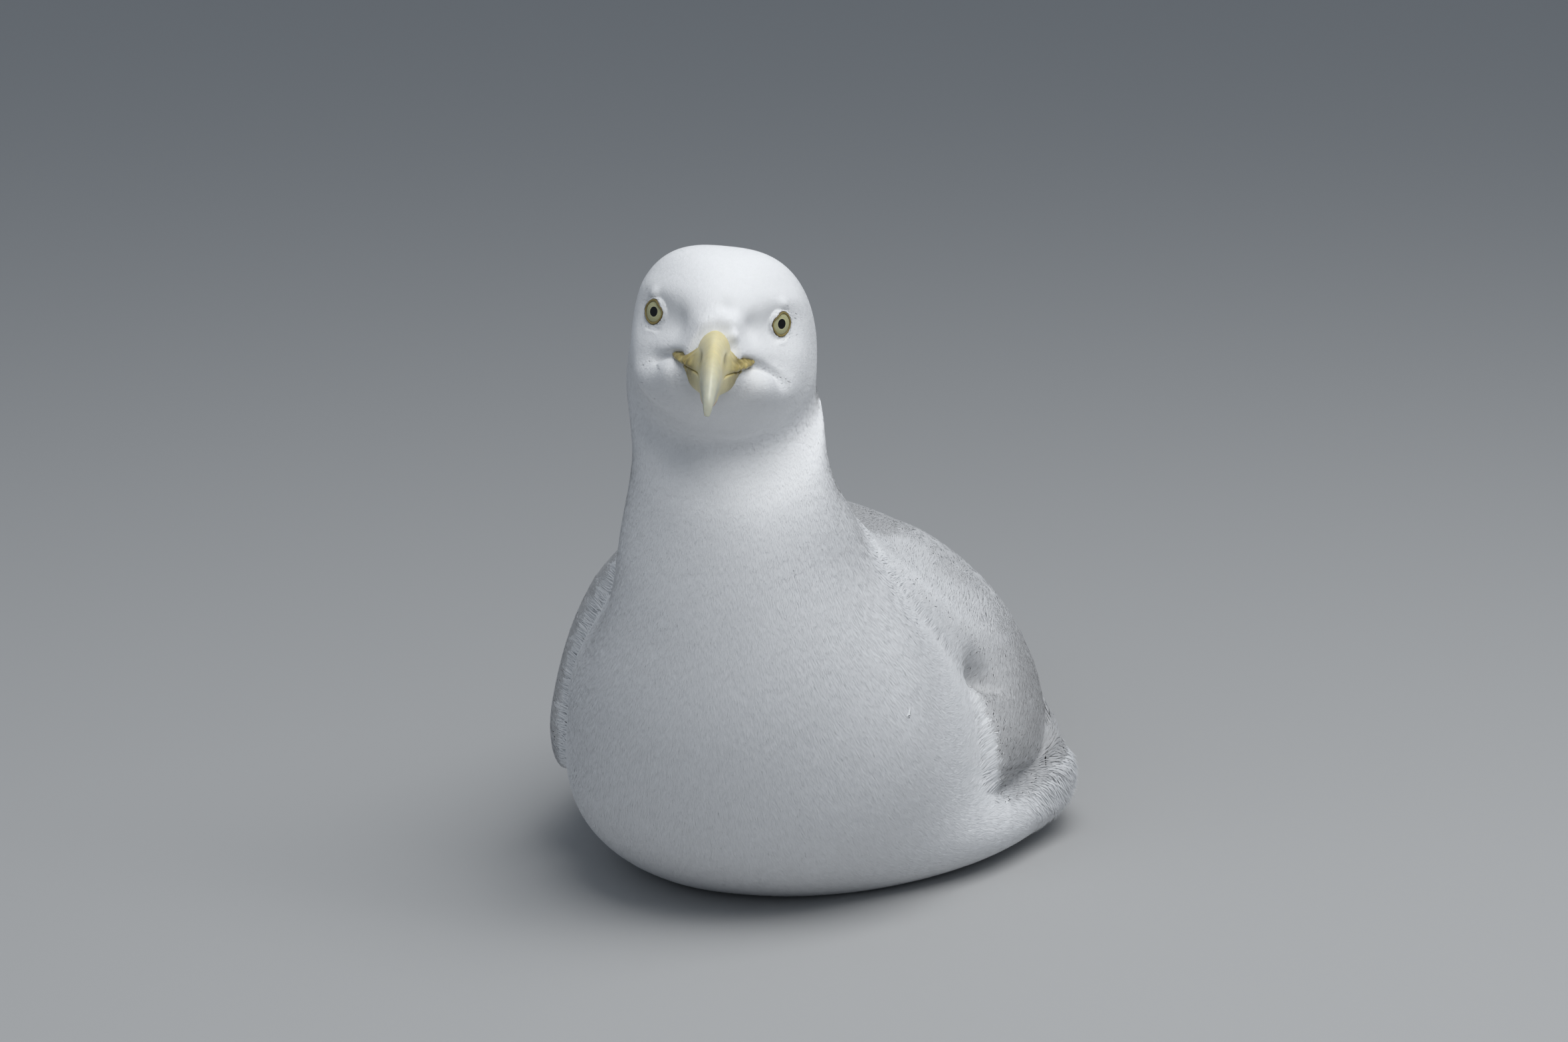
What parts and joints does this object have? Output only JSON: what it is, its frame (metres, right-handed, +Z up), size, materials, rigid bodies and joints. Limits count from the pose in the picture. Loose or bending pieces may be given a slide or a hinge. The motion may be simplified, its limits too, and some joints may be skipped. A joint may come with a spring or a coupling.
{
  "type": "resting herring gull model",
  "caption": "Life-size still model of an adult gull lying on its belly, head up and turned a little to its left, wings folded and feet under its body.",
  "frame": {"origin": "on the floor, in the middle of the flat on which the belly rests", "axes": "+Z up, -Y the way the body faces, +X the bird's left"},
  "size_m": [0.1943, 0.5032, 0.25],
  "materials": {
    "white_plumage": "soft matt feathers",
    "grey_plumage": "smooth matt feathers",
    "black_plumage": "smooth feathers with a slight sheen",
    "bill_horn": "satin horn",
    "eye": "wet gloss",
    "leg_skin": "scaly satin skin"
  },
  "bodies": {
    "root": {"head": "white_plumage", "neck": "white_plumage", "trunk": "white_plumage", "tail": "white_plumage", "wing_left": "grey_plumage", "wing_right": "grey_plumage", "tertials_left": "grey_plumage", "tertials_right": "grey_plumage", "primaries_left": "black_plumage", "primaries_right": "black_plumage", "bill_upper": "bill_horn", "bill_lower": "bill_horn", "eye_left": "eye", "eye_right": "eye", "leg_left": "leg_skin", "leg_right": "leg_skin"}
  },
  "joints": []
}
